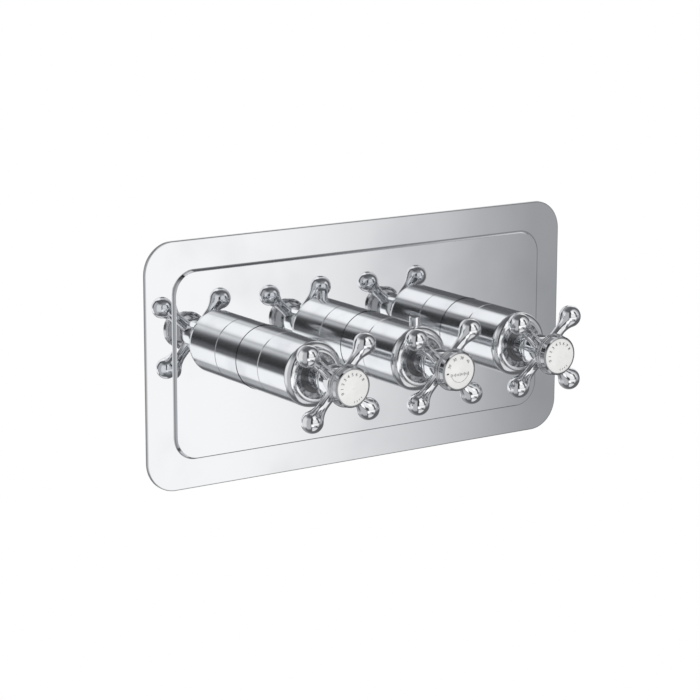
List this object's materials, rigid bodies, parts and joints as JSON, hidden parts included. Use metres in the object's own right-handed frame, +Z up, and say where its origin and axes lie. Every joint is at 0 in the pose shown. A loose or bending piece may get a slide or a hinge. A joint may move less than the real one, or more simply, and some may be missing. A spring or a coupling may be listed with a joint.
{
  "type": "thermostatic shower valve",
  "caption": "Concealed thermostatic shower valve: cross handles on chromed sleeves through one wall plate, a temperature control with stop button between two flow controls.",
  "frame": {"origin": "middle of the four fixing screws, on the plane of the feet at the back of the valve body, straight behind the middle control; the finished wall face is 66 mm in front of it, at Y = -0.066", "axes": "-Y points out of the wall to the user, +X to the user's right, +Z up"},
  "size_m": [0.305, 0.1864, 0.15],
  "materials": {
    "chrome": "polished chromium plate over brass",
    "index_ceramic": "off-white glazed ceramic",
    "seal_ceramic": "lapped alumina",
    "brass": "cast and machined brass",
    "copper_alloy": "copper shell of the wax element",
    "steel": "bright stainless steel",
    "acetal": "black acetal",
    "foam": "closed-cell foam rubber",
    "rubber": "moulded rubber"
  },
  "bodies": {
    "body": {"faceplate": "chrome", "plate_gasket": "foam", "sleeve_seals": "rubber", "rear_sleeve_left": "chrome", "rear_sleeve_mid": "chrome", "rear_sleeve_right": "chrome", "front_sleeve_left": "chrome", "front_sleeve_mid": "chrome", "front_sleeve_right": "chrome", "neck_bushes": "acetal", "button_spring": "steel", "flow_cartridge_left": "brass", "flow_cartridge_right": "brass", "fixed_disc_left": "seal_ceramic", "fixed_disc_right": "seal_ceramic", "thermo_housing": "brass", "thermo_cap": "brass", "return_spring": "steel", "valve_body": "brass", "fixing_screws": "steel", "strainers": "steel", "check_cages": "acetal", "check_spring_hot": "steel", "check_spring_cold": "steel"},
    "left_control": {"handle_left": "chrome", "bezel_left": "chrome", "index_disc_left": "index_ceramic", "handle_screw_left": "steel", "extension_left": "brass", "flow_spindle_left": "brass", "moving_disc_left": "seal_ceramic"},
    "right_control": {"handle_right": "chrome", "bezel_right": "chrome", "index_disc_right": "index_ceramic", "handle_screw_right": "steel", "extension_right": "brass", "flow_spindle_right": "brass", "moving_disc_right": "seal_ceramic"},
    "temperature_control": {"handle_mid": "chrome", "bezel_mid": "chrome", "index_disc_mid": "index_ceramic", "handle_screw_mid": "steel", "extension_mid": "brass", "stop_drum": "brass", "temp_spindle": "brass"},
    "mixer": {"pusher": "brass", "wax_element": "copper_alloy", "shuttle": "steel"},
    "button": {"stop_button": "chrome"},
    "hot_poppet": {"check_poppet_hot": "acetal"},
    "cold_poppet": {"check_poppet_cold": "acetal"}
  },
  "joints": [
    {"name": "left_turn", "type": "hinge", "parent": "body", "child": "left_control", "pos_m": [-0.075, 0, 0], "axis": [0, -1, 0], "range_deg": [0, 90]},
    {"name": "right_turn", "type": "hinge", "parent": "body", "child": "right_control", "pos_m": [0.075, 0, 0], "axis": [0, -1, 0], "range_deg": [0, 90]},
    {"name": "temperature_turn", "type": "hinge", "parent": "body", "child": "temperature_control", "pos_m": [0, 0, 0], "axis": [0, -1, 0], "range_deg": [-210, 0]},
    {"name": "mixer_slide", "type": "slide", "parent": "body", "child": "mixer", "axis": [0, 1, 0], "range_m": [0, 0.00102], "deforming": ["return_spring"]},
    {"name": "button_press", "type": "slide", "parent": "body", "child": "button", "axis": [0, 0, -1], "range_m": [0, 0.0021], "stiffness_N_per_m": 500, "springref_m": -0.006, "deforming": ["button_spring"]},
    {"name": "hot_check", "type": "slide", "parent": "body", "child": "hot_poppet", "axis": [0, 0, 1], "range_m": [0, 0.004], "stiffness_N_per_m": 60, "springref_m": -0.006, "deforming": ["check_spring_hot"]},
    {"name": "cold_check", "type": "slide", "parent": "body", "child": "cold_poppet", "axis": [0, 0, 1], "range_m": [0, 0.004], "stiffness_N_per_m": 60, "springref_m": -0.006, "deforming": ["check_spring_cold"]}
  ],
  "couplings": [
    {"joint": "mixer_slide", "follows": "temperature_turn", "m_per_rad": -0.00027829}
  ]
}
